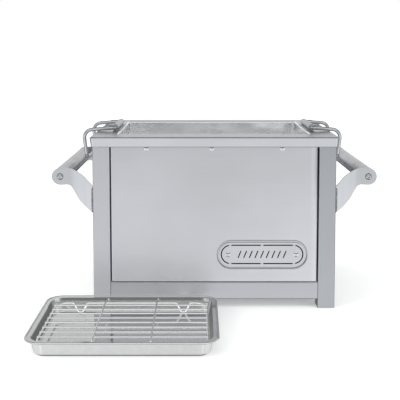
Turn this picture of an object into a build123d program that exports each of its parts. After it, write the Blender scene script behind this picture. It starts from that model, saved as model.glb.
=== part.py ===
from build123d import *
from math import asin, atan, cos, degrees, radians, sin, tan
import os

os.makedirs("parts", exist_ok=True)

# Roasting box: a stainless sheet-steel cooking chamber on four tube legs, closed
# from above by a lift-off charcoal tray with two swinging wire bails. The drip pan
# and its wire rack stand on the floor in front of the box.
#
# Frame: X to the right, Y to the back, Z up, millimetres. The origin is on the floor
# at the centre of the footprint of the box, its handles and the pan. The box's own
# centre is at (0, YB).

# ---------------------------------------------------------------- dimensions
YB = 117.5          # box centre, back of the origin

BOX_W = 450.0       # over the legs
BOX_D = 336.0
LEG = 32.0          # square tube
LEG_WALL = 1.5
LEG_R = 2.6
LEG_TOP = 320.8

RAIL_Z0 = 16.5      # lower rails, square tube between the legs
RAIL_H = 33.0
RAIL_SET = 0.8      # set back from the legs' faces
RAIL_T = 30.0
RAIL_WALL = 1.5

ANGLE = 25.0        # upper rails, equal angle behind the panels
ANGLE_T = 2.0

PANEL_SET = 1.0     # panels set back from the legs' faces
PANEL_T = 1.0
PANEL_GAP = 1.0
PANEL_R = 3.2       # bend of the returned vertical edges
PANEL_RET = 10.0    # depth of the returned edges
PANEL_Z0 = 51.0
PANEL_TOP = 320.0

FLOOR_T = 1.2

RIVET_Z = 300.4     # panel rivets, half under the tray's skirt
RIVET_R = 2.0
RIVETS_X = (-125.0, -5.0, 125.0)

BADGE_X = 89.0      # pressed recess and its plate
BADGE_Z = 101.6
RECESS_L = 167.0
RECESS_H = 52.0
RECESS_DEEP = 3.0
PLATE_L = 161.0
PLATE_H = 45.0
PLATE_T = 1.0
SLOT_L = 154.0      # slotted outline, over the slots
SLOT_H = 37.0
SLOT_T = 2.2
BRIDGES = (-59.5, 0.0, 59.5)
BRIDGE_W = 3.4
VENTS = [10.5 * i for i in range(-4, 5)]
VENT_L = 15.0
VENT_T = 2.0
PLATE_IN = 1.2      # plate's face below the panel's face
BADGE_RIVET_X = 63.2

TRAY_W = 460.0      # charcoal tray rim
TRAY_D = 346.0
TRAY_T = 1.2
TRAY_CORNER = 6.5
TRAY_TOP = 322.0
SKIRT_Z0 = 303.3
SKIRT_R = 2.6
SKIRT_IN = 3.0      # the skirt leans in towards its lower edge
BASIN_W = 366.0     # outside of the basin at the rim
BASIN_D = 252.0
BASIN_DEEP = 55.0
BASIN_R = 6.0
BASIN_TAPER = 1.5
LIP_OUT = 3.4       # the basin's lip, outside of the basin
LIP_R = 2.6

PIN_X = 194.5       # bail pivots
SLEEVE_OD = 13.0
SLEEVE_ID = 7.2     # running fit on the wire
SLEEVE_L = 118.0
PIN_Z = TRAY_TOP + SLEEVE_OD / 2
WIRE_R = 3.5        # bail wire
BAIL_Y = 67.0       # half the width of a bail
BAIL_Z = 268.0      # its cross bar
BAIL_OUT_LEFT = 256.0
BAIL_OUT_RIGHT = 251.0

GRIP_X = 287.2      # side handles
GRIP_Z = 246.3
GRIP_R = 15.0
GRIP_WALL = 1.5
EYE_R = 15.5        # round end of a bracket
BRACKET_T = 3.0
WELD_Y = 164.0      # outer face of a bracket at the leg, from the box's centre
EYE_Y = 154.5       # outer face of a bracket at its round end
BEND_X = 263.5
BEND_R = 70.0       # its easy crank, front face

PAN_X = -151.0      # drip pan, in front of the box
PAN_Y = -175.0
PAN_W = 311.0
PAN_D = 230.0
PAN_H = 28.0
PAN_T = 0.9
PAN_BASE_W = 283.0
PAN_BASE_D = 202.0
PAN_BASE_R = 20.0
PAN_SLOPE = 12.0    # degrees
PAN_RIM_R = 30.0
BEAD_R = 1.7

RACK_W = 273.0      # wire rack, between wire centres
RACK_D = 194.0
RACK_R = 20.0
RING_R = 1.8
LONG_R = 1.4
CROSS_R = 1.5
RING_Z = 19.2
CROSS_X = 46.5
FOOT_X = 94.0
N_LONG = 8

# ---------------------------------------------------------------- derived places
YF = YB - BOX_D / 2                 # front faces of the legs
YR = YB + BOX_D / 2
XS = BOX_W / 2                      # outer faces of the legs
LEG_X = XS - LEG / 2
LEG_Y = BOX_D / 2 - LEG / 2
RAIL_LX = BOX_W - 2 * LEG           # clear length between legs
RAIL_LY = BOX_D - 2 * LEG
RAIL_Z = RAIL_Z0 + RAIL_H / 2
PANEL_YF = YF + PANEL_SET           # outer face of the front panel
PANEL_XF = XS - PANEL_SET           # outer face of a side panel
PANEL_W = RAIL_LX - 2 * PANEL_GAP
PANEL_WS = RAIL_LY - 2 * PANEL_GAP
PANEL_H = PANEL_TOP - PANEL_Z0
MID_XZ = Plane.XZ.offset(-YB)       # the box's front-to-back mirror plane


def rivet(y, out, grip, head_r, head_h, tail_r, tail_h, collar=None):
    """One blind rivet on an axis along Y through x = 0, z = 0: its domed head is
    towards out (-1 front, +1 back) at y, and it grips that much sheet."""
    dome_h = head_h - 0.5
    dome_r = (head_r ** 2 + dome_h ** 2) / (2 * dome_h)
    half = asin(head_r / dome_r) / 2
    y0 = y + out * 0.5
    with BuildPart() as one:
        with BuildSketch():
            with BuildLine():
                Polyline(
                    (0, y + out * head_h),
                    (0, y - out * (grip + tail_h)),
                    (tail_r, y - out * (grip + tail_h * 0.6)),
                    (tail_r, y - out * grip),
                    (RIVET_R, y - out * grip),
                    (RIVET_R, y),
                    (head_r, y),
                    (head_r, y0),
                )
                ThreePointArc(
                    (head_r, y0),
                    (dome_r * sin(half), y0 + out * (dome_h - dome_r + dome_r * cos(half))),
                    (0, y0 + out * dome_h),
                )
            make_face()
            if collar is not None:
                c0, c1, cr = collar
                with BuildLine():
                    Polyline(
                        (0, y - out * c0), (cr, y - out * c0), (cr, y - out * c1),
                        (0, y - out * c1), close=True,
                    )
                make_face()
        revolve(axis=Axis.Y)
    return one.part


# ---------------------------------------------------------------- legs
with BuildPart() as leg_front_left:
    with BuildSketch():
        with Locations((-LEG_X, YB - LEG_Y)):
            RectangleRounded(LEG, LEG, LEG_R)
            RectangleRounded(
                LEG - 2 * LEG_WALL, LEG - 2 * LEG_WALL, LEG_R - LEG_WALL,
                mode=Mode.SUBTRACT,
            )
    extrude(amount=LEG_TOP)

with BuildPart() as leg_front_right:
    add(mirror(leg_front_left.part, about=Plane.YZ, mode=Mode.PRIVATE))

with BuildPart() as leg_rear_left:
    add(mirror(leg_front_left.part, about=MID_XZ, mode=Mode.PRIVATE))

with BuildPart() as leg_rear_right:
    add(mirror(leg_front_right.part, about=MID_XZ, mode=Mode.PRIVATE))

# ---------------------------------------------------------------- lower rails
with BuildPart() as lower_rail_front:
    with BuildSketch(Plane.YZ.offset(-RAIL_LX / 2)):
        with Locations((YF + RAIL_SET + RAIL_T / 2, RAIL_Z)):
            RectangleRounded(RAIL_T, RAIL_H, 2.2)
            RectangleRounded(
                RAIL_T - 2 * RAIL_WALL, RAIL_H - 2 * RAIL_WALL, 0.9,
                mode=Mode.SUBTRACT,
            )
    extrude(amount=RAIL_LX)

with BuildPart() as lower_rail_rear:
    add(mirror(lower_rail_front.part, about=MID_XZ, mode=Mode.PRIVATE))

with BuildPart() as lower_rail_left:
    with BuildSketch(Plane.XZ.offset(-(YB + RAIL_LY / 2))):
        with Locations((-(XS - RAIL_SET - RAIL_T / 2), RAIL_Z)):
            RectangleRounded(RAIL_T, RAIL_H, 2.2)
            RectangleRounded(
                RAIL_T - 2 * RAIL_WALL, RAIL_H - 2 * RAIL_WALL, 0.9,
                mode=Mode.SUBTRACT,
            )
    extrude(amount=RAIL_LY)

with BuildPart() as lower_rail_right:
    add(mirror(lower_rail_left.part, about=Plane.YZ, mode=Mode.PRIVATE))

# ---------------------------------------------------------------- upper rails
# Equal angles behind the panels: the tray's rim rests on their flat legs.
AY = PANEL_YF + PANEL_T
with BuildPart() as upper_rail_front:
    with BuildSketch(Plane.YZ.offset(-RAIL_LX / 2)):
        with BuildLine():
            Polyline(
                (AY, LEG_TOP - ANGLE),
                (AY, LEG_TOP),
                (AY + ANGLE, LEG_TOP),
                (AY + ANGLE, LEG_TOP - ANGLE_T),
                (AY + ANGLE_T, LEG_TOP - ANGLE_T),
                (AY + ANGLE_T, LEG_TOP - ANGLE),
                close=True,
            )
        make_face()
    extrude(amount=RAIL_LX)
    # rivet holes
    with BuildSketch(Plane.XZ.offset(-(AY - 1))):
        with Locations(*[(x, RIVET_Z) for x in RIVETS_X]):
            Circle(RIVET_R)
    extrude(amount=-(ANGLE_T + 2), mode=Mode.SUBTRACT)
    # the returned edges of the panel pass the ends of the angle
    with BuildSketch(Plane.XY.offset(LEG_TOP - ANGLE - 1)):
        with Locations(
            (-(PANEL_W / 2 - 1.2), AY + PANEL_RET / 2 - 1),
            (PANEL_W / 2 - 1.2, AY + PANEL_RET / 2 - 1),
        ):
            Rectangle(5.6, PANEL_RET + 2)
    extrude(amount=ANGLE - ANGLE_T, mode=Mode.SUBTRACT)

with BuildPart() as upper_rail_rear:
    add(mirror(upper_rail_front.part, about=MID_XZ, mode=Mode.PRIVATE))

AX = PANEL_XF - PANEL_T
with BuildPart() as upper_rail_right:
    with BuildSketch(Plane.XZ.offset(-(YB + RAIL_LY / 2))):
        with BuildLine():
            Polyline(
                (AX, LEG_TOP - ANGLE),
                (AX, LEG_TOP),
                (AX - ANGLE, LEG_TOP),
                (AX - ANGLE, LEG_TOP - ANGLE_T),
                (AX - ANGLE_T, LEG_TOP - ANGLE_T),
                (AX - ANGLE_T, LEG_TOP - ANGLE),
                close=True,
            )
        make_face()
    extrude(amount=RAIL_LY)
    with BuildSketch(Plane.YZ.offset(AX - ANGLE_T - 1)):
        with Locations(*[(YB + y, RIVET_Z) for y in (-75, 75)]):
            Circle(RIVET_R)
    extrude(amount=ANGLE_T + 2, mode=Mode.SUBTRACT)
    with BuildSketch(Plane.XY.offset(LEG_TOP - ANGLE - 1)):
        with Locations(
            (AX - PANEL_RET / 2 + 1, YB - (PANEL_WS / 2 - 1.2)),
            (AX - PANEL_RET / 2 + 1, YB + (PANEL_WS / 2 - 1.2)),
        ):
            Rectangle(PANEL_RET + 2, 5.6)
    extrude(amount=ANGLE - ANGLE_T, mode=Mode.SUBTRACT)

with BuildPart() as upper_rail_left:
    add(mirror(upper_rail_right.part, about=Plane.YZ, mode=Mode.PRIVATE))

# ---------------------------------------------------------------- panels
# Sheet with both vertical edges turned back.
with BuildPart() as rear_panel:
    with BuildSketch(Plane.XY.offset(PANEL_Z0)) as outline:
        with Locations((0, PANEL_YF + PANEL_RET / 2)):
            Rectangle(PANEL_W, PANEL_RET)
        fillet(outline.vertices().group_by(Axis.Y)[0], PANEL_R)
        with BuildSketch(mode=Mode.SUBTRACT) as hollow:
            with Locations((0, PANEL_YF + PANEL_T + PANEL_RET / 2)):
                Rectangle(PANEL_W - 2 * PANEL_T, PANEL_RET)
            fillet(hollow.vertices().group_by(Axis.Y)[0], PANEL_R - PANEL_T)
    extrude(amount=PANEL_TOP - 3.4 - PANEL_Z0)
    # above the turned edges the flat sheet runs on, in front of the angle
    with BuildSketch(Plane.XZ.offset(-PANEL_YF)):
        with Locations((0, (PANEL_TOP - 5 + PANEL_TOP) / 2)):
            Rectangle(PANEL_W - 2 * PANEL_R, 5)
    extrude(amount=-PANEL_T)
    with BuildSketch(Plane.XZ.offset(-(PANEL_YF - 3))):
        with Locations(*[(x, RIVET_Z) for x in RIVETS_X]):
            Circle(RIVET_R)
    extrude(amount=-(PANEL_T + 4), mode=Mode.SUBTRACT)
plain_panel = rear_panel.part

with BuildPart() as rear_panel:
    add(mirror(plain_panel, about=MID_XZ, mode=Mode.PRIVATE))

# The front panel carries a pressed recess for the badge plate.
with BuildPart() as front_panel:
    add(plain_panel)
    with BuildSketch(Plane.XZ.offset(-(PANEL_YF + PANEL_T))):
        with Locations((BADGE_X, BADGE_Z)):
            SlotOverall(RECESS_L + 2 * PANEL_T, RECESS_H + 2 * PANEL_T)
    extrude(amount=-RECESS_DEEP)
    with BuildSketch(Plane.XZ.offset(-PANEL_YF)):
        with Locations((BADGE_X, BADGE_Z)):
            SlotOverall(RECESS_L, RECESS_H)
    extrude(amount=-RECESS_DEEP, mode=Mode.SUBTRACT)
    lip = front_panel.edges().filter_by_position(
        Axis.Y, PANEL_YF - 0.01, PANEL_YF + 0.01
    ).filter_by_position(Axis.Z, BADGE_Z - RECESS_H, BADGE_Z + RECESS_H)
    lip = [
        e for e in lip
        if abs(e.center().X - BADGE_X) < RECESS_L / 2 + 1
        and e.length < RECESS_L
        and abs(e.center().Z - BADGE_Z) < RECESS_H / 2 + 1
    ]
    fillet(lip, 2.1)
    # rivet holes, and slots a little wider than the plate's
    with BuildSketch(Plane.XZ.offset(-(PANEL_YF - 1))):
        with Locations(
            (BADGE_X - BADGE_RIVET_X, BADGE_Z), (BADGE_X + BADGE_RIVET_X, BADGE_Z)
        ):
            Circle(RIVET_R)
        with BuildSketch():
            with Locations((BADGE_X, BADGE_Z)):
                SlotOverall(SLOT_L + 2.4, SLOT_H + 2.4)
                SlotOverall(
                    SLOT_L - 2 * SLOT_T - 2.4, SLOT_H - 2 * SLOT_T - 2.4,
                    mode=Mode.SUBTRACT,
                )
            with Locations(*[(BADGE_X + x, BADGE_Z) for x in BRIDGES]):
                Rectangle(BRIDGE_W + 2.4, 60, mode=Mode.SUBTRACT)
        with Locations(*[(BADGE_X + x, BADGE_Z) for x in VENTS]):
            SlotOverall(VENT_L + 2.0, VENT_T + 2.0, rotation=68)
    extrude(amount=-(PANEL_T + RECESS_DEEP + 3), mode=Mode.SUBTRACT)

with BuildPart() as right_panel:
    with BuildSketch(Plane.XY.offset(PANEL_Z0)) as outline:
        with Locations((PANEL_XF - PANEL_RET / 2, YB)):
            Rectangle(PANEL_RET, PANEL_WS)
        fillet(outline.vertices().group_by(Axis.X)[-1], PANEL_R)
        with BuildSketch(mode=Mode.SUBTRACT) as hollow:
            with Locations((PANEL_XF - PANEL_T - PANEL_RET / 2, YB)):
                Rectangle(PANEL_RET, PANEL_WS - 2 * PANEL_T)
            fillet(hollow.vertices().group_by(Axis.X)[-1], PANEL_R - PANEL_T)
    extrude(amount=PANEL_TOP - 3.4 - PANEL_Z0)
    with BuildSketch(Plane.YZ.offset(PANEL_XF - PANEL_T)):
        with Locations((YB, (PANEL_TOP - 5 + PANEL_TOP) / 2)):
            Rectangle(PANEL_WS - 2 * PANEL_R, 5)
    extrude(amount=PANEL_T)
    with BuildSketch(Plane.YZ.offset(PANEL_XF - PANEL_T - 2)):
        with Locations(*[(YB + y, RIVET_Z) for y in (-75, 75)]):
            Circle(RIVET_R)
    extrude(amount=PANEL_T + 6, mode=Mode.SUBTRACT)

with BuildPart() as left_panel:
    add(mirror(right_panel.part, about=Plane.YZ, mode=Mode.PRIVATE))

# The chamber's floor lies on the lower rails and is notched round the legs.
with BuildPart() as floor_panel:
    with BuildSketch(Plane.XY.offset(RAIL_Z0 + RAIL_H)):
        with Locations((0, YB)):
            Rectangle(BOX_W - 8, RAIL_LY - 1)
            Rectangle(RAIL_LX - 1, BOX_D - 8)
    extrude(amount=FLOOR_T)

# ---------------------------------------------------------------- rivets
RIVET_GRIP = PANEL_T + ANGLE_T
front_rivet = rivet(0, -1, RIVET_GRIP, 4.5, 1.2, 3.2, 1.6)

with BuildPart() as panel_rivets:
    for x in RIVETS_X:
        with Locations(Location((x, PANEL_YF, RIVET_Z))):
            add(front_rivet)
        with Locations(
            Location((x, 2 * YB - PANEL_YF, RIVET_Z), (0, 0, 180))
        ):
            add(front_rivet)

with BuildPart() as side_rivets:
    for y in (YB - 75, YB + 75):
        with Locations(Location((-PANEL_XF, y, RIVET_Z), (0, 0, -90))):
            add(front_rivet)
        with Locations(Location((PANEL_XF, y, RIVET_Z), (0, 0, 90))):
            add(front_rivet)

# ---------------------------------------------------------------- badge
PLATE_Y = PANEL_YF + PLATE_IN
with BuildPart() as badge_plate:
    with BuildSketch(Plane.XZ.offset(-PLATE_Y)):
        with Locations((BADGE_X, BADGE_Z)):
            SlotOverall(PLATE_L, PLATE_H)
        # broken outline of six slots
        with BuildSketch(mode=Mode.SUBTRACT):
            with Locations((BADGE_X, BADGE_Z)):
                SlotOverall(SLOT_L, SLOT_H)
                SlotOverall(SLOT_L - 2 * SLOT_T, SLOT_H - 2 * SLOT_T, mode=Mode.SUBTRACT)
            with Locations(*[(BADGE_X + x, BADGE_Z) for x in BRIDGES]):
                Rectangle(BRIDGE_W, 60, mode=Mode.SUBTRACT)
        # plain slanted vents across the middle
        with Locations(*[(BADGE_X + x, BADGE_Z) for x in VENTS]):
            SlotOverall(VENT_L, VENT_T, rotation=68, mode=Mode.SUBTRACT)
        with Locations(
            (BADGE_X - BADGE_RIVET_X, BADGE_Z), (BADGE_X + BADGE_RIVET_X, BADGE_Z)
        ):
            Circle(RIVET_R, mode=Mode.SUBTRACT)
    extrude(amount=-PLATE_T)

badge_rivet = rivet(
    0, -1, RECESS_DEEP - PLATE_IN + PANEL_T, 5.0, 1.8, 3.2, 1.4,
    (PLATE_T, RECESS_DEEP - PLATE_IN, 3.6),
)
with BuildPart() as badge_rivets:
    for x in (BADGE_X - BADGE_RIVET_X, BADGE_X + BADGE_RIVET_X):
        with Locations(Location((x, PLATE_Y, BADGE_Z))):
            add(badge_rivet)

# ---------------------------------------------------------------- side handles
# A bracket is plate, cranked inwards near its round end; its outline is a horn that
# springs from the side of the leg.
with BuildPart() as bracket_left_front:
    with BuildSketch(Plane.XY.offset(170)) as crank:
        with BuildLine():
            Polyline(
                (-XS, YB - WELD_Y),
                (-BEND_X, YB - EYE_Y),
                (-GRIP_X - 20, YB - EYE_Y),
                (-GRIP_X - 20, YB - EYE_Y + BRACKET_T),
                (-BEND_X + 0.4, YB - EYE_Y + BRACKET_T),
                (-XS, YB - WELD_Y + BRACKET_T + 0.1),
                close=True,
            )
        make_face()
        bends = [
            v for v in crank.vertices() if abs(v.X + BEND_X) < 1.0
        ]
        fillet([v for v in bends if v.Y < YB - EYE_Y + 1], BEND_R)
        bends = [
            v for v in crank.vertices()
            if abs(v.X + BEND_X) < 1.0 and v.Y > YB - EYE_Y + 1
        ]
        fillet(bends, BEND_R + BRACKET_T)
    extrude(amount=100)
    with BuildSketch(Plane.XZ.offset(-(YB - 140))):
        with BuildLine():
            Spline(
                (-XS, 227.4), (-231.7, 236.4), (-240.8, 246.2), (-250.0, 252.9),
                (-258.4, 257.8), (-265.6, 260.8), (-273.2, 262.4),
                (-GRIP_X, GRIP_Z + EYE_R),
                tangents=((-0.55, 1.8), (-1, 0)),
            )
            ThreePointArc(
                (-GRIP_X, GRIP_Z + EYE_R),
                (-GRIP_X - EYE_R, GRIP_Z),
                (-GRIP_X, GRIP_Z - EYE_R),
            )
            Spline(
                (-GRIP_X, GRIP_Z - EYE_R), (-278.8, 231.0), (-273.0, 231.2),
                (-268.3, 229.3), (-264.7, 225.6), (-261.5, 220.3),
                (-257.6, 213.2), (-253.0, 205.7), (-246.8, 198.0),
                (-239.3, 190.7), (-231.7, 184.4), (-XS, 179.6),
                tangents=((1, 0), (0.86, -0.5)),
            )
            Line((-XS, 179.6), (-XS, 227.4))
        make_face()
    extrude(amount=40, mode=Mode.INTERSECT)
    with BuildSketch(Plane.XZ.offset(-(YB - 140))):
        with Locations((-GRIP_X, GRIP_Z)):
            Circle(3.2)
    extrude(amount=40, mode=Mode.SUBTRACT)

with BuildPart() as bracket_right_front:
    add(mirror(bracket_left_front.part, about=Plane.YZ, mode=Mode.PRIVATE))

with BuildPart() as bracket_left_rear:
    add(mirror(bracket_left_front.part, about=MID_XZ, mode=Mode.PRIVATE))

with BuildPart() as bracket_right_rear:
    add(mirror(bracket_right_front.part, about=MID_XZ, mode=Mode.PRIVATE))

GRIP_HALF = EYE_Y - BRACKET_T
with BuildPart() as grip_left:
    with BuildSketch(Plane.XZ.offset(-(YB + GRIP_HALF))):
        with Locations((-GRIP_X, GRIP_Z)):
            Circle(GRIP_R)
            Circle(GRIP_R - GRIP_WALL, mode=Mode.SUBTRACT)
    extrude(amount=2 * GRIP_HALF)

with BuildPart() as grip_right:
    add(mirror(grip_left.part, about=Plane.YZ, mode=Mode.PRIVATE))

# Threaded plugs pressed into the ends of the grip tubes.
PLUG_L = 14.0
with BuildPart() as grip_plugs_left:
    for y in (YB + GRIP_HALF, YB - GRIP_HALF + PLUG_L):
        with BuildSketch(Plane.XZ.offset(-y)):
            with Locations((-GRIP_X, GRIP_Z)):
                Circle(GRIP_R - GRIP_WALL)
                Circle(3.0, mode=Mode.SUBTRACT)
        extrude(amount=PLUG_L)

with BuildPart() as grip_plugs_right:
    add(mirror(grip_plugs_left.part, about=Plane.YZ, mode=Mode.PRIVATE))

# Button-head screws with a hexagon socket, one at each end of a grip.
with BuildPart() as front_screw:
    with BuildSketch(Plane((-GRIP_X, 0, GRIP_Z))):
        with BuildLine():
            Polyline(
                (2.2, YB - EYE_Y - 3.6), (0, YB - EYE_Y - 3.6),
                (0, YB - EYE_Y + 14.0), (2.4, YB - EYE_Y + 14.0),
                (3.0, YB - EYE_Y + 13.4), (3.0, YB - EYE_Y),
                (6.3, YB - EYE_Y), (6.3, YB - EYE_Y - 0.5),
            )
            ThreePointArc(
                (6.3, YB - EYE_Y - 0.5), (4.9, YB - EYE_Y - 2.5),
                (2.2, YB - EYE_Y - 3.6),
            )
        make_face()
    revolve(axis=Axis((-GRIP_X, 0, GRIP_Z), (0, 1, 0)))
    with BuildSketch(Plane.XZ.offset(-(YB - EYE_Y - 5))):
        with Locations((-GRIP_X, GRIP_Z)):
            RegularPolygon(2.0, 6, major_radius=False)
    extrude(amount=-3.6, mode=Mode.SUBTRACT)

with BuildPart() as grip_screws_left:
    add(front_screw.part)
    add(mirror(front_screw.part, about=MID_XZ, mode=Mode.PRIVATE))

with BuildPart() as grip_screws_right:
    add(mirror(grip_screws_left.part, about=Plane.YZ, mode=Mode.PRIVATE))

# ---------------------------------------------------------------- charcoal tray
# Rim: a flat flange that lies on the legs and upper rails, with a turned-down skirt.
SKIRT_H = TRAY_TOP - SKIRT_Z0
LEAN = degrees(atan(SKIRT_IN / SKIRT_H))
with BuildPart() as rim_core:
    with BuildSketch(Plane.XY.offset(TRAY_TOP - TRAY_T)):
        with Locations((0, YB)):
            RectangleRounded(
                TRAY_W - 2 * TRAY_T, TRAY_D - 2 * TRAY_T, TRAY_CORNER - TRAY_T
            )
    extrude(amount=-(SKIRT_H + 2), taper=LEAN)
    fillet(rim_core.faces().sort_by(Axis.Z)[-1].edges(), SKIRT_R - TRAY_T)

with BuildPart() as tray_rim:
    with BuildSketch(Plane.XY.offset(TRAY_TOP)):
        with Locations((0, YB)):
            RectangleRounded(TRAY_W, TRAY_D, TRAY_CORNER)
    extrude(amount=-SKIRT_H, taper=LEAN)
    fillet(tray_rim.faces().sort_by(Axis.Z)[-1].edges(), SKIRT_R)
    add(rim_core.part, mode=Mode.SUBTRACT)
    with BuildSketch(Plane.XY.offset(TRAY_TOP - 5)):
        with Locations((0, YB)):
            RectangleRounded(
                BASIN_W + 2 * LIP_OUT, BASIN_D + 2 * LIP_OUT, BASIN_R + LIP_OUT
            )
    extrude(amount=10, mode=Mode.SUBTRACT)

# Basin: a folded tub whose lip bends outwards and is welded flush into the rim's
# opening.
with BuildPart() as tub_inside:
    with BuildSketch(Plane.XY.offset(TRAY_TOP)):
        with Locations((0, YB)):
            RectangleRounded(
                BASIN_W - 2 * TRAY_T, BASIN_D - 2 * TRAY_T, BASIN_R - TRAY_T
            )
    extrude(amount=-(BASIN_DEEP - TRAY_T), taper=BASIN_TAPER)
    fillet(tub_inside.faces().sort_by(Axis.Z)[0].edges(), 3.0)

with BuildPart() as tray_basin:
    with BuildSketch(Plane.XY.offset(TRAY_TOP)):
        with Locations((0, YB)):
            RectangleRounded(BASIN_W, BASIN_D, BASIN_R)
    extrude(amount=-BASIN_DEEP, taper=BASIN_TAPER)
    fillet(tray_basin.faces().sort_by(Axis.Z)[0].edges(), 3.0 + TRAY_T)
    with BuildSketch(Plane.XY.offset(TRAY_TOP - TRAY_T)):
        with Locations((0, YB)):
            RectangleRounded(
                BASIN_W + 2 * LIP_OUT, BASIN_D + 2 * LIP_OUT, BASIN_R + LIP_OUT
            )
    extrude(amount=TRAY_T)
    add(tub_inside.part, mode=Mode.SUBTRACT)
    mouth = tray_basin.faces().sort_by(Axis.Z)[-1].inner_wires()[0].edges()
    fillet(mouth, LIP_R)
    neck = [
        e for e in tray_basin.edges().filter_by_position(
            Axis.Z, TRAY_TOP - TRAY_T - 0.01, TRAY_TOP - TRAY_T + 0.01
        )
        if abs(e.center().X) < BASIN_W / 2 + 0.2
        and abs(e.center().Y - YB) < BASIN_D / 2 + 0.2
        and (abs(e.center().X) > BASIN_W / 2 - 4 or abs(e.center().Y - YB) > BASIN_D / 2 - 4)
    ]
    fillet(neck, LIP_R - TRAY_T)

# Rolled pivot sleeves with a flat tab, welded on the flange beside the basin.
with BuildPart() as pivot_sleeve_left:
    with BuildSketch(Plane.XZ.offset(-(YB + SLEEVE_L / 2))):
        with Locations((-PIN_X, PIN_Z)):
            Circle(SLEEVE_OD / 2)
        with BuildLine():
            Polyline(
                (-PIN_X, TRAY_TOP), (-PIN_X + 11.0, TRAY_TOP),
                (-PIN_X + 11.0, TRAY_TOP + 1.5), (-PIN_X, TRAY_TOP + 1.5),
                close=True,
            )
        make_face()
        with Locations((-PIN_X, PIN_Z)):
            Circle(SLEEVE_ID / 2, mode=Mode.SUBTRACT)
        # open seam of the roll, above the tab
        with Locations((-PIN_X + 5.0, TRAY_TOP + 2.0)):
            Rectangle(5.0, 1.0, mode=Mode.SUBTRACT)
    extrude(amount=SLEEVE_L)

with BuildPart() as pivot_sleeve_right:
    add(mirror(pivot_sleeve_left.part, about=Plane.YZ, mode=Mode.PRIVATE))

# Wire bails. Each hangs over the rim, and its two ends turn in the sleeve. They are
# bent by hand: the right one is a little shorter in the arms.
def bail(out, side):
    """A bail on the side -1 (left) or 1 (right), whose arms reach out that far."""
    pin, bx, low = side * PIN_X, side * out, side * (out - 7.0)
    bz = PIN_Z - 0.080 * (out - PIN_X)
    with BuildPart() as one:
        with BuildLine() as wire:
            FilletPolyline(
                (pin, YB - 16, PIN_Z),
                (pin, YB - BAIL_Y, PIN_Z),
                (bx, YB - BAIL_Y, bz),
                (low, YB - BAIL_Y, BAIL_Z),
                (low, YB + BAIL_Y, BAIL_Z),
                (bx, YB + BAIL_Y, bz),
                (pin, YB + BAIL_Y, PIN_Z),
                (pin, YB + 16, PIN_Z),
                radius=[6.5, 16.0, 9.0, 9.0, 16.0, 6.5],
            )
        with BuildSketch(Plane((pin, YB - 16, PIN_Z), z_dir=(0, -1, 0))):
            Circle(WIRE_R)
        sweep(path=wire.line)
    return one


bail_left = bail(BAIL_OUT_LEFT, -1)
bail_right = bail(BAIL_OUT_RIGHT, 1)

# ---------------------------------------------------------------- drip pan
def half_ring(width, depth, corner, z, r):
    """The right-hand half of a round bar bent to a rounded rectangle."""
    with BuildPart(mode=Mode.PRIVATE) as half:
        with BuildLine() as path:
            FilletPolyline(
                (PAN_X, PAN_Y - depth / 2, z),
                (PAN_X + width / 2, PAN_Y - depth / 2, z),
                (PAN_X + width / 2, PAN_Y + depth / 2, z),
                (PAN_X, PAN_Y + depth / 2, z),
                radius=corner,
            )
        with BuildSketch(Plane((PAN_X, PAN_Y - depth / 2, z), z_dir=(1, 0, 0))):
            Circle(r)
        sweep(path=path.line)
    return half.part


# A pressed pan: sloping walls, a narrow flat lip and a rolled bead at its edge.
LIP_Z = PAN_H - BEAD_R
FLARE = tan(radians(PAN_SLOPE))
SKIN = PAN_T / cos(radians(PAN_SLOPE)) - PAN_T * FLARE   # wall, measured level
bead_half = half_ring(
    PAN_W - 2 * BEAD_R, PAN_D - 2 * BEAD_R, PAN_RIM_R - BEAD_R, LIP_Z, BEAD_R
)

with BuildPart() as pan_inside:
    with BuildSketch(Plane.XY.offset(PAN_T)):
        with Locations((PAN_X, PAN_Y)):
            RectangleRounded(
                PAN_BASE_W - 2 * SKIN, PAN_BASE_D - 2 * SKIN, PAN_BASE_R - SKIN
            )
    extrude(amount=LIP_Z + 5, taper=-PAN_SLOPE)
    fillet(pan_inside.faces().sort_by(Axis.Z)[0].edges(), 4.0)

with BuildPart() as drip_pan:
    with BuildSketch():
        with Locations((PAN_X, PAN_Y)):
            RectangleRounded(PAN_BASE_W, PAN_BASE_D, PAN_BASE_R)
    extrude(amount=LIP_Z, taper=-PAN_SLOPE)
    fillet(drip_pan.faces().sort_by(Axis.Z)[0].edges(), 4.0 + PAN_T)
    with BuildSketch(Plane.XY.offset(LIP_Z - PAN_T)):
        with Locations((PAN_X, PAN_Y)):
            RectangleRounded(
                PAN_W - 2 * BEAD_R, PAN_D - 2 * BEAD_R, PAN_RIM_R - BEAD_R
            )
    extrude(amount=PAN_T)
    add(pan_inside.part, mode=Mode.SUBTRACT)
    # rolled bead round the rim
    add(bead_half)
    mirror(bead_half, about=Plane.YZ.offset(PAN_X))

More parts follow.
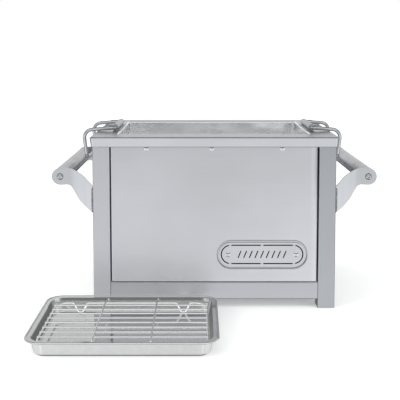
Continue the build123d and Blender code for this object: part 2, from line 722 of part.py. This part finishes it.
# ---------------------------------------------------------------- wire rack
# The frame wire dips to the pan's floor in four V-shaped feet, two on each long side.
FOOT_LOW = PAN_T + RING_R + 0.1
with BuildPart() as frame_half:
    with BuildLine() as frame_path:
        FilletPolyline(
            (PAN_X, PAN_Y - RACK_D / 2, RING_Z),
            (PAN_X + FOOT_X - 12.5, PAN_Y - RACK_D / 2, RING_Z),
            (PAN_X + FOOT_X - 3.6, PAN_Y - RACK_D / 2, FOOT_LOW),
            (PAN_X + FOOT_X + 3.6, PAN_Y - RACK_D / 2, FOOT_LOW),
            (PAN_X + FOOT_X + 12.5, PAN_Y - RACK_D / 2, RING_Z),
            (PAN_X + RACK_W / 2, PAN_Y - RACK_D / 2, RING_Z),
            (PAN_X + RACK_W / 2, PAN_Y + RACK_D / 2, RING_Z),
            (PAN_X + FOOT_X + 12.5, PAN_Y + RACK_D / 2, RING_Z),
            (PAN_X + FOOT_X + 3.6, PAN_Y + RACK_D / 2, FOOT_LOW),
            (PAN_X + FOOT_X - 3.6, PAN_Y + RACK_D / 2, FOOT_LOW),
            (PAN_X + FOOT_X - 12.5, PAN_Y + RACK_D / 2, RING_Z),
            (PAN_X, PAN_Y + RACK_D / 2, RING_Z),
            radius=[5.5, 3.0, 3.0, 5.5, RACK_R, RACK_R, 5.5, 3.0, 3.0, 5.5],
        )
    with BuildSketch(Plane((PAN_X, PAN_Y - RACK_D / 2, RING_Z), z_dir=(1, 0, 0))):
        Circle(RING_R)
    sweep(path=frame_path.line)

with BuildPart() as rack_frame:
    add(frame_half.part)
    mirror(frame_half.part, about=Plane.YZ.offset(PAN_X))

LONG_Z = RING_Z + RING_R + LONG_R
LONG_STEP = RACK_D / (N_LONG + 1)
with BuildPart() as rack_long_wires:
    with BuildSketch(Plane.YZ.offset(PAN_X - RACK_W / 2 - 1.0)):
        with Locations(*[
            (PAN_Y - RACK_D / 2 + LONG_STEP * (i + 1), LONG_Z) for i in range(N_LONG)
        ]):
            Circle(LONG_R)
    extrude(amount=RACK_W + 2.0)

CROSS_Z = LONG_Z + LONG_R + CROSS_R
with BuildPart() as rack_cross_wires:
    for x in (PAN_X - CROSS_X, PAN_X + CROSS_X):
        with BuildLine() as cross:
            FilletPolyline(
                (x, PAN_Y - RACK_D / 2, RING_Z + RING_R + CROSS_R),
                (x, PAN_Y - RACK_D / 2 + 7, RING_Z + RING_R + CROSS_R + 0.4),
                (x, PAN_Y - RACK_D / 2 + 14, CROSS_Z),
                (x, PAN_Y + RACK_D / 2 - 14, CROSS_Z),
                (x, PAN_Y + RACK_D / 2 - 7, RING_Z + RING_R + CROSS_R + 0.4),
                (x, PAN_Y + RACK_D / 2, RING_Z + RING_R + CROSS_R),
                radius=[4.0, 4.0, 4.0, 4.0],
            )
        with BuildSketch(Plane(cross.line @ 0, z_dir=cross.line % 0)):
            Circle(CROSS_R)
        sweep(path=cross.line)

# ---------------------------------------------------------------- export
pieces = {
    "leg_front_left": leg_front_left,
    "leg_front_right": leg_front_right,
    "leg_rear_left": leg_rear_left,
    "leg_rear_right": leg_rear_right,
    "lower_rail_front": lower_rail_front,
    "lower_rail_rear": lower_rail_rear,
    "lower_rail_left": lower_rail_left,
    "lower_rail_right": lower_rail_right,
    "upper_rail_front": upper_rail_front,
    "upper_rail_rear": upper_rail_rear,
    "upper_rail_left": upper_rail_left,
    "upper_rail_right": upper_rail_right,
    "front_panel": front_panel,
    "rear_panel": rear_panel,
    "left_panel": left_panel,
    "right_panel": right_panel,
    "floor_panel": floor_panel,
    "panel_rivets": panel_rivets,
    "side_rivets": side_rivets,
    "badge_plate": badge_plate,
    "badge_rivets": badge_rivets,
    "bracket_left_front": bracket_left_front,
    "bracket_left_rear": bracket_left_rear,
    "bracket_right_front": bracket_right_front,
    "bracket_right_rear": bracket_right_rear,
    "grip_left": grip_left,
    "grip_right": grip_right,
    "grip_plugs_left": grip_plugs_left,
    "grip_plugs_right": grip_plugs_right,
    "grip_screws_left": grip_screws_left,
    "grip_screws_right": grip_screws_right,
    "tray_rim": tray_rim,
    "tray_basin": tray_basin,
    "pivot_sleeve_left": pivot_sleeve_left,
    "pivot_sleeve_right": pivot_sleeve_right,
    "bail_left": bail_left,
    "bail_right": bail_right,
    "drip_pan": drip_pan,
    "rack_frame": rack_frame,
    "rack_long_wires": rack_long_wires,
    "rack_cross_wires": rack_cross_wires,
}
for label, piece in pieces.items():
    piece.part.label = label
    export_step(piece.part, f"parts/{label}.step")
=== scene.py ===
import bpy
import bmesh
import math
import random
from mathutils import Matrix, Vector, noise


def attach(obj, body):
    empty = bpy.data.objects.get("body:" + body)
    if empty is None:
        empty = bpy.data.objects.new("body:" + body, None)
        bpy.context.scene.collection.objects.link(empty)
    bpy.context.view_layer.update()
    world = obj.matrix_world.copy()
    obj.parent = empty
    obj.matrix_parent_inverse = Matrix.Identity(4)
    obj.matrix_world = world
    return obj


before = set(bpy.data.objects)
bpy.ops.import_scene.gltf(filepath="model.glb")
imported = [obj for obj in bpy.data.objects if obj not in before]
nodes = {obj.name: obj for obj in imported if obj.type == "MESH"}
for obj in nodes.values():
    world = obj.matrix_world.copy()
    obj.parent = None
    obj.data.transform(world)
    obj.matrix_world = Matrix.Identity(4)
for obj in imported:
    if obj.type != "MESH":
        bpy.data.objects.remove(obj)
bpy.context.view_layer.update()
scene = bpy.context.scene
random.seed(7)


# ------------------------------------------------------------------ materials
def tree(name):
    m = bpy.data.materials.new(name)
    m.use_nodes = True
    nt = m.node_tree
    nt.nodes.clear()
    out = nt.nodes.new("ShaderNodeOutputMaterial")
    p = nt.nodes.new("ShaderNodeBsdfPrincipled")
    nt.links.new(p.outputs[0], out.inputs[0])
    return m, nt, p


def node(nt, kind, **kw):
    n = nt.nodes.new(kind)
    for k, v in kw.items():
        if k in n.inputs:
            n.inputs[k].default_value = v
        else:
            setattr(n, k, v)
    return n


def maprange(nt, value, a, b, c, d):
    n = nt.nodes.new("ShaderNodeMapRange")
    n.inputs["From Min"].default_value = a
    n.inputs["From Max"].default_value = b
    n.inputs["To Min"].default_value = c
    n.inputs["To Max"].default_value = d
    nt.links.new(value, n.inputs["Value"])
    return n.outputs["Result"]


def math_node(nt, op, a, b):
    n = nt.nodes.new("ShaderNodeMath")
    n.operation = op
    for i, v in enumerate((a, b)):
        if isinstance(v, (int, float)):
            n.inputs[i].default_value = v
        else:
            nt.links.new(v, n.inputs[i])
    return n.outputs[0]


def steel(name, color, rough, along, fine=1100.0, streak=0.022, tone=0.014, mottle=0.03,
          bump=0.000006, blotch=9.0, waviness=0.0, rough_spread=0.03, crevice_shade=0.0, shade_band=None, bow=False):
    """Ground stainless steel. along is the direction of the grain: 0 X, 1 Y, 2 Z, and
    crevice_shade paints shade: it darkens the base colour in the last few millimetres before another piece.
    shade_band is the height range below which the base colour turns darker, a painted shade line along a bottom edge,
    and bow tilts the normals as if the sheet curved back a little towards its right-hand bend."""
    m, nt, p = tree(name)
    co = node(nt, "ShaderNodeTexCoord")
    mp = node(nt, "ShaderNodeMapping")
    s = [fine, fine, fine]
    s[along] = fine * 0.012
    mp.inputs["Scale"].default_value = s
    nt.links.new(co.outputs["Object"], mp.inputs["Vector"])
    grain = node(nt, "ShaderNodeTexNoise", Scale=1.0, Detail=3.0, Roughness=0.6)
    nt.links.new(mp.outputs[0], grain.inputs["Vector"])
    # longer, fainter streaks
    mp2 = node(nt, "ShaderNodeMapping")
    s2 = [fine * 0.16] * 3
    s2[along] = fine * 0.004
    mp2.inputs["Scale"].default_value = s2
    nt.links.new(co.outputs["Object"], mp2.inputs["Vector"])
    streaks = node(nt, "ShaderNodeTexNoise", Scale=1.0, Detail=4.0, Roughness=0.55)
    nt.links.new(mp2.outputs[0], streaks.inputs["Vector"])
    cloud = node(nt, "ShaderNodeTexNoise", Scale=blotch, Detail=2.5, Roughness=0.5)
    nt.links.new(co.outputs["Object"], cloud.inputs["Vector"])

    f1 = maprange(nt, grain.outputs[0], 0.25, 0.75, 1 - streak, 1 + streak)
    f2 = maprange(nt, streaks.outputs[0], 0.3, 0.7, 1 - tone, 1 + tone)
    f3 = maprange(nt, cloud.outputs[0], 0.3, 0.7, 1 - mottle, 1 + mottle)
    f = math_node(nt, "MULTIPLY", math_node(nt, "MULTIPLY", f1, f2), f3)
    # painted shade: an ambient occlusion mask darkens the base colour in the last few millimetres before another
    # piece
    if crevice_shade:
        ao = node(nt, "ShaderNodeAmbientOcclusion", samples=6)
        ao.inputs["Distance"].default_value = 0.007
        f = math_node(nt, "MULTIPLY", f,
                      maprange(nt, ao.outputs["AO"], 0.35, 0.92, 1 - crevice_shade, 1.0))
    axes = nt.nodes.new("ShaderNodeSeparateXYZ")
    nt.links.new(co.outputs["Object"], axes.inputs[0])
    # painted shade: below the given height the base colour turns darker, a shadow line along the bottom edge
    if shade_band:
        f = math_node(nt, "MULTIPLY", f,
                      maprange(nt, axes.outputs["Z"], shade_band[0], shade_band[1], 0.55, 1.0))
    tint = node(nt, "ShaderNodeVectorMath", operation="SCALE")
    tint.inputs[0].default_value = color
    nt.links.new(f, tint.inputs["Scale"])
    nt.links.new(tint.outputs[0], p.inputs["Base Color"])

    r = maprange(nt, streaks.outputs[0], 0.3, 0.7, rough - rough_spread, rough + rough_spread)
    r2 = math_node(nt, "ADD", r, maprange(nt, grain.outputs[0], 0.25, 0.75, -0.03, 0.03))
    nt.links.new(r2, p.inputs["Roughness"])
    bmp = node(nt, "ShaderNodeBump", Strength=0.6, Distance=bump)
    nt.links.new(grain.outputs[0], bmp.inputs["Height"])
    if waviness:
        wave = node(nt, "ShaderNodeTexNoise", Scale=14.0, Detail=1.0, Roughness=0.4)
        nt.links.new(co.outputs["Object"], wave.inputs["Vector"])
        b2 = node(nt, "ShaderNodeBump", Strength=1.0, Distance=waviness)
        nt.links.new(wave.outputs[0], b2.inputs["Height"])
        nt.links.new(b2.outputs[0], bmp.inputs["Normal"])
        if bow:
            wide = maprange(nt, axes.outputs["X"], 0.03, 0.192, 0.0, 1.0)
            wide = math_node(nt, "MULTIPLY", math_node(nt, "MULTIPLY", wide, wide), -0.0095)
            near = maprange(nt, axes.outputs["X"], 0.178, 0.192, 0.0, 1.0)
            near = math_node(nt, "MULTIPLY", math_node(nt, "MULTIPLY", near, near),
                             maprange(nt, axes.outputs["Z"], 0.16, 0.25, -0.0010, -0.0034))
            b3 = node(nt, "ShaderNodeBump", Strength=1.0, Distance=1.0)
            nt.links.new(math_node(nt, "ADD", wide, near), b3.inputs["Height"])
            nt.links.new(b3.outputs[0], b2.inputs["Normal"])
    nt.links.new(bmp.outputs[0], p.inputs["Normal"])
    p.inputs["Metallic"].default_value = 1.0
    return m


def polished(name, color, rough, waviness=0.00004, wave_scale=22.0, smudge=0.05):
    """Polished stainless with the soft ripple and wiping marks of thin sheet."""
    m, nt, p = tree(name)
    co = node(nt, "ShaderNodeTexCoord")
    wave = node(nt, "ShaderNodeTexNoise", Scale=wave_scale, Detail=1.5, Roughness=0.4)
    nt.links.new(co.outputs["Object"], wave.inputs["Vector"])
    b = node(nt, "ShaderNodeBump", Strength=1.0, Distance=waviness)
    nt.links.new(wave.outputs[0], b.inputs["Height"])
    nt.links.new(b.outputs[0], p.inputs["Normal"])
    wipe = node(nt, "ShaderNodeTexNoise", Scale=60.0, Detail=4.0, Roughness=0.65)
    nt.links.new(co.outputs["Object"], wipe.inputs["Vector"])
    nt.links.new(maprange(nt, wipe.outputs[0], 0.35, 0.75, rough, rough + smudge),
                 p.inputs["Roughness"])
    f = maprange(nt, wipe.outputs[0], 0.3, 0.7, 1.0, 0.94)
    tint = node(nt, "ShaderNodeVectorMath", operation="SCALE")
    tint.inputs[0].default_value = color
    nt.links.new(f, tint.inputs["Scale"])
    nt.links.new(tint.outputs[0], p.inputs["Base Color"])
    p.inputs["Metallic"].default_value = 1.0
    return m


SHEET = (0.550, 0.561, 0.582)
TUBE = (0.518, 0.529, 0.550)
M = {
    # the shade values below darken the base colour in the corners and gaps of legs, rails and panels: painted shade
    "leg_tube": steel("leg_steel", TUBE, 0.36, 2, mottle=0.02, crevice_shade=0.12),
    # painted shade: the right legs use a darker copy of the leg steel
    "leg_tube_shaded": steel("leg_steel_right_painted_shade", (0.414, 0.426, 0.447), 0.36, 2, mottle=0.02, crevice_shade=0.12),
    "rail_x": steel("rail_steel_long", (0.456, 0.466, 0.487), 0.36, 0, mottle=0.02, crevice_shade=0.22),
    # painted light: the side rails use a brighter copy of the rail steel to offset the dim room at the sides
    "rail_side_lit": steel("rail_steel_side_painted_light", (0.645, 0.656, 0.677), 0.36, 1, mottle=0.02),
    "panel_x": steel("panel_steel", SHEET, 0.34, 0, waviness=0.0005, mottle=0.04, blotch=6.0,
                     crevice_shade=0.25, bow=True),
    # painted light: the side panels use a brighter copy of the panel steel to offset the dim room at the sides
    "panel_side_lit": steel("panel_steel_side_painted_light", (0.665, 0.676, 0.697), 0.34, 1, waviness=0.0005, mottle=0.04,
                     blotch=6.0),
    "floor": steel("floor_steel", (0.56, 0.57, 0.58), 0.30, 0),
    "hidden": steel("mill_steel", (0.50, 0.51, 0.52), 0.45, 0),
    "rivet": steel("rivet_steel", (0.60, 0.61, 0.625), 0.22, 0, fine=2600.0),
    "badge": steel("badge_steel", (0.540, 0.551, 0.571), 0.32, 0),
    "bracket": steel("bracket_steel", (0.510, 0.523, 0.540), 0.30, 2, fine=1500.0, streak=0.01,
                     bump=0.000002),
    "grip": steel("grip_steel", (0.56, 0.57, 0.585), 0.26, 1, fine=1500.0, mottle=0.11,
                  blotch=22.0, streak=0.01, bump=0.000002),
    "screw": steel("screw_steel", (0.50, 0.51, 0.52), 0.26, 2, fine=2600.0),
    # the tray rim's skirt gets a painted shade line along its lower edge
    "tray_x": steel("tray_steel", (0.482, 0.492, 0.511), 0.24, 0, streak=0.012, tone=0.008,
                    shade_band=(0.3036, 0.3048)),
    # painted light: the basin's base colour is lifted far above the rim steel to stand in for light inside the basin
    "basin": steel("basin_steel_painted_light", (0.98, 0.985, 0.99), 0.13, 0, waviness=0.0035, fine=900.0),
    "sleeve": steel("sleeve_steel", (0.54, 0.55, 0.565), 0.30, 1, fine=1800.0),
    "wire": steel("bail_steel", (0.57, 0.58, 0.595), 0.08, 2, fine=2200.0, rough_spread=0.02),
    "pan": polished("pan_steel", (0.82, 0.825, 0.82), 0.07, waviness=0.00012, smudge=0.05),
    "rack": polished("rack_steel", (0.97, 0.972, 0.97), 0.07, waviness=0.00001, smudge=0.03),
}
USE = {
    "leg_": "leg_tube", "leg_front_right": "leg_tube_shaded", "leg_rear_right": "leg_tube_shaded",
    "lower_rail_front": "rail_x", "lower_rail_rear": "rail_x",
    "lower_rail_left": "rail_side_lit", "lower_rail_right": "rail_side_lit", "upper_rail": "hidden",
    "front_panel": "panel_x", "rear_panel": "panel_x", "left_panel": "panel_side_lit",
    "right_panel": "panel_side_lit", "floor_panel": "floor", "panel_rivets": "rivet",
    "side_rivets": "rivet", "badge_plate": "badge", "badge_rivets": "rivet",
    "bracket_": "bracket", "grip_left": "grip", "grip_right": "grip",
    "grip_plugs": "hidden", "grip_screws": "screw", "tray_rim": "tray_x",
    "tray_basin": "basin", "pivot_sleeve": "sleeve", "bail_": "wire",
    "drip_pan": "pan", "rack_": "rack",
}


def dress(o, mat):
    o.data.materials.clear()
    o.data.materials.append(mat)


for name, o in nodes.items():
    key = next((k for k in sorted(USE, key=len, reverse=True) if name.startswith(k)), None)
    dress(o, M[USE[key]])


# ------------------------------------------------------------------ weld beads
def weld(name, points, radius, body, mat, pitch=0.0034):
    """A run of overlapping weld ripples along a polyline of points."""
    bm = bmesh.new()
    run = []
    for a, b in zip(points, points[1:]):
        a, b = Vector(a), Vector(b)
        n = max(1, int((b - a).length / (pitch / 5)))
        run += [a.lerp(b, i / n) for i in range(n)]
    run.append(Vector(points[-1]))
    total = len(run)
    rings = []
    for i, c in enumerate(run):
        t = (run[min(i + 1, total - 1)] - run[max(i - 1, 0)]).normalized()
        side = t.cross(Vector((0.3, 0.9, 0.2))).normalized()
        up = t.cross(side).normalized()
        end = min(i, total - 1 - i) / 5.0
        grow = math.sqrt(min(1.0, end))
        ripple = 0.68 + 0.32 * abs(math.cos(math.pi * i / 5.0))
        wob = 1.0 + 0.10 * noise.noise(c * 400.0)
        r = max(radius * grow * ripple * wob, radius * 0.05)
        rings.append([
            bm.verts.new(c + (side * math.cos(k * math.pi / 5) + up * math.sin(k * math.pi / 5)) * r)
            for k in range(10)
        ])
    for r0, r1 in zip(rings, rings[1:]):
        for k in range(10):
            bm.faces.new((r0[k], r0[(k + 1) % 10], r1[(k + 1) % 10], r1[k]))
    bm.faces.new(rings[0][::-1])
    bm.faces.new(rings[-1])
    bmesh.ops.recalc_face_normals(bm, faces=bm.faces)
    me = bpy.data.meshes.new(name)
    bm.to_mesh(me)
    bm.free()
    for f in me.polygons:
        f.use_smooth = True
    o = bpy.data.objects.new(name, me)
    scene.collection.objects.link(o)
    dress(o, mat)
    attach(o, body)
    return o


M["weld"] = steel("weld_steel", (0.30, 0.30, 0.31), 0.24, 2, fine=1200.0, mottle=0.35, blotch=160.0)
YB = 0.1175
for sx, ns in ((-1, "left"), (1, "right")):
    for sy, nf in ((-1, "front"), (1, "rear")):
        y_out = YB + sy * 0.1640
        y_in = YB + sy * 0.1609
        for tag, y in (("outer", y_out), ("inner", y_in)):
            o = weld(
                f"weld_{ns}_{nf}_{tag}",
                [(sx * 0.2256, y + sy * 0.0004, 0.1806), (sx * 0.2256, y + sy * 0.0004, 0.2270)],
                0.0024, "box", M["weld"],
            )

# ------------------------------------------------------------------ floor and light
bpy.ops.mesh.primitive_plane_add(size=14.0, location=(0, 1.0, 0))
floor = bpy.context.object
floor.name = "floor"
fm, nt, p = tree("floor_paint")
p.inputs["Base Color"].default_value = (0.93, 0.935, 0.93, 1)
p.inputs["Roughness"].default_value = 0.9
p.inputs["Specular IOR Level"].default_value = 0.05
p.inputs["Emission Color"].default_value = (0.985, 0.99, 1.0, 1)
p.inputs["Emission Strength"].default_value = 0.26
dress(floor, fm)
floor.visible_glossy = False
nodes["drip_pan"].visible_glossy = False

world = bpy.data.worlds.new("studio")
scene.world = world
world.use_nodes = True
nt = world.node_tree
nt.nodes.clear()
wout = nt.nodes.new("ShaderNodeOutputWorld")
lp = nt.nodes.new("ShaderNodeLightPath")
white = node(nt, "ShaderNodeBackground", Strength=1.0)
white.inputs["Color"].default_value = (1, 1, 1, 1)
soft = node(nt, "ShaderNodeBackground", Strength=0.97)
soft.inputs["Color"].default_value = (1, 1, 1, 1)
room = node(nt, "ShaderNodeBackground", Strength=1.0)
room.inputs["Color"].default_value = (0.985, 0.99, 1.0, 1)
co = nt.nodes.new("ShaderNodeTexCoord")
sep = nt.nodes.new("ShaderNodeSeparateXYZ")
nt.links.new(co.outputs["Generated"], sep.inputs[0])
# what the steel mirrors: a white room with bright soft boxes in front at both sides,
# dim beside, behind and above the back of the object, and a dark floor underneath it
x2 = math_node(nt, "MULTIPLY", sep.outputs["X"], sep.outputs["X"])
beside = maprange(nt, x2, 0.14, 0.42, 0.0, 1.0)
glow = math_node(nt, "MULTIPLY", maprange(nt, sep.outputs["Y"], -0.62, -0.42, 0.70, 0.0),
                 maprange(nt, sep.outputs["Z"], 0.08, 0.28, 1.0, 0.0))
# both soft boxes are narrow, so the side panels don't burn out seen from a corner
narrow = maprange(nt, x2, 0.28, 0.40, 0.0, 0.70)
glow = math_node(nt, "MULTIPLY", glow, math_node(nt, "SUBTRACT", 1.0, narrow))
dim = math_node(nt, "MULTIPLY", maprange(nt, sep.outputs["Y"], -0.62, -0.42, 0.0, 0.60),
                maprange(nt, sep.outputs["Y"], 0.35, 0.65, 1.0, 0.0))
level = math_node(nt, "MULTIPLY", maprange(nt, sep.outputs["Z"], -0.40, -0.30, 0.15, 1.0),
                  maprange(nt, sep.outputs["Z"], -0.09, -0.03, 1.0, 0.15))
band = math_node(nt, "SUBTRACT", glow, math_node(nt, "MULTIPLY", dim, level))
sides = math_node(nt, "ADD", 1.0, math_node(nt, "MULTIPLY", beside, band))
over = math_node(nt, "MULTIPLY", maprange(nt, sep.outputs["Z"], 0.25, 0.60, 0.0, 0.62),
                 maprange(nt, sep.outputs["Y"], -0.25, 0.15, 0.0, 1.0))
zenith = maprange(nt, sep.outputs["Z"], 0.74, 0.90, 1.0, 0.34)
up = math_node(nt, "MULTIPLY", math_node(nt, "SUBTRACT", 1.0, over), zenith)
down = maprange(nt, sep.outputs["Z"], -0.92, -0.66, 0.22, 1.0)
back = maprange(nt, sep.outputs["Y"], 0.1, 0.9, 1.0, 0.78)
behind = maprange(nt, sep.outputs["Y"], 0.35, 0.85, 0.0, 0.80)
below = math_node(nt, "MULTIPLY", maprange(nt, sep.outputs["Z"], -0.10, 0.02, 1.0, 0.0),
                  maprange(nt, sep.outputs["Z"], -0.52, -0.30, 0.0, 1.0))
floor_behind = math_node(nt, "SUBTRACT", 1.0, math_node(nt, "MULTIPLY", behind, below))
# a brighter strip of floor in front, and a dim strip at eye level beyond it
front = maprange(nt, sep.outputs["Y"], -0.80, -0.35, 1.0, 0.0)
strip = math_node(nt, "MULTIPLY", maprange(nt, sep.outputs["Z"], -0.28, -0.14, 0.42, 0.0),
                  maprange(nt, sep.outputs["Z"], -0.52, -0.40, 0.0, 1.0))
eye = math_node(nt, "MULTIPLY", maprange(nt, sep.outputs["Z"], -0.02, 0.04, 0.0, 0.80),
                maprange(nt, sep.outputs["Z"], 0.30, 0.40, 1.0, 0.0))
ahead = math_node(nt, "ADD", 1.0, math_node(nt, "MULTIPLY", front,
                                            math_node(nt, "SUBTRACT", strip, eye)))
# and a large soft box high up in front, with a dimmer room at both sides of it
canopy = math_node(nt, "MULTIPLY", maprange(nt, sep.outputs["Z"], 0.32, 0.42, 0.0, 0.42),
                   maprange(nt, sep.outputs["Z"], 0.70, 0.80, 1.0, 0.0))
canopy = math_node(nt, "MULTIPLY", canopy,
                   maprange(nt, sep.outputs["Y"], -0.40, -0.10, 1.0, 0.0))
canopy = math_node(nt, "MULTIPLY", canopy, math_node(nt, "SUBTRACT", 1.0, beside))
ahead = math_node(nt, "ADD", ahead, canopy)
high = math_node(nt, "MULTIPLY", maprange(nt, sep.outputs["Z"], 0.18, 0.40, 0.0, 0.42),
                 maprange(nt, sep.outputs["Y"], -0.35, 0.15, 1.0, 0.0))
aside = math_node(nt, "SUBTRACT", 1.0, math_node(nt, "MULTIPLY", beside, high))
b = math_node(nt, "MULTIPLY", sides, up)
b = math_node(nt, "MULTIPLY", b, ahead)
b = math_node(nt, "MULTIPLY", b, aside)
b = math_node(nt, "MULTIPLY", b, down)
b = math_node(nt, "MULTIPLY", b, back)
b = math_node(nt, "MULTIPLY", b, floor_behind)
nt.links.new(b, room.inputs["Strength"])
glossy_mix = nt.nodes.new("ShaderNodeMixShader")
nt.links.new(lp.outputs["Is Glossy Ray"], glossy_mix.inputs[0])
nt.links.new(soft.outputs[0], glossy_mix.inputs[1])
nt.links.new(room.outputs[0], glossy_mix.inputs[2])
mix = nt.nodes.new("ShaderNodeMixShader")
nt.links.new(lp.outputs["Is Camera Ray"], mix.inputs[0])
nt.links.new(glossy_mix.outputs[0], mix.inputs[1])
nt.links.new(white.outputs[0], mix.inputs[2])
nt.links.new(mix.outputs[0], wout.inputs[0])


def area(name, loc, target, size, size_y, power, color=(1, 1, 1)):
    d = bpy.data.lights.new(name, "AREA")
    d.shape = "RECTANGLE"
    d.size, d.size_y = size, size_y
    d.energy = power
    d.color = color
    o = bpy.data.objects.new(name, d)
    scene.collection.objects.link(o)
    o.location = loc
    o.rotation_euler = (Vector(target) - Vector(loc)).to_track_quat("-Z", "Y").to_euler()
    o.visible_camera = False
    # the steel mirrors the soft boxes of the world instead, which don't burn out
    o.visible_glossy = False
    return o


area("key_left", (-2.4, -1.3, 1.5), (0, 0.0, 0.15), 1.2, 1.2, 26)
area("key_right", (2.3, -1.1, 0.9), (0.2, 0.0, 0.2), 0.7, 1.2, 10)

# ------------------------------------------------------------------ camera
cd = bpy.data.cameras.new("camera")
cam = bpy.data.objects.new("camera", cd)
scene.collection.objects.link(cam)
cd.sensor_width = 36.0
cd.lens = 68.35
cd.shift_y = -0.2225
cd.clip_start, cd.clip_end = 0.05, 50.0
cd.dof.use_dof = False
cam.location = (-0.0271, -1.4360, 0.4837)
cam.rotation_euler = (math.radians(90 - 4.7), 0, math.radians(-0.022))
scene.camera = cam

scene.view_settings.view_transform = "Standard"
scene.view_settings.look = "None"
scene.view_settings.exposure = 0.0
scene.view_settings.gamma = 1.0
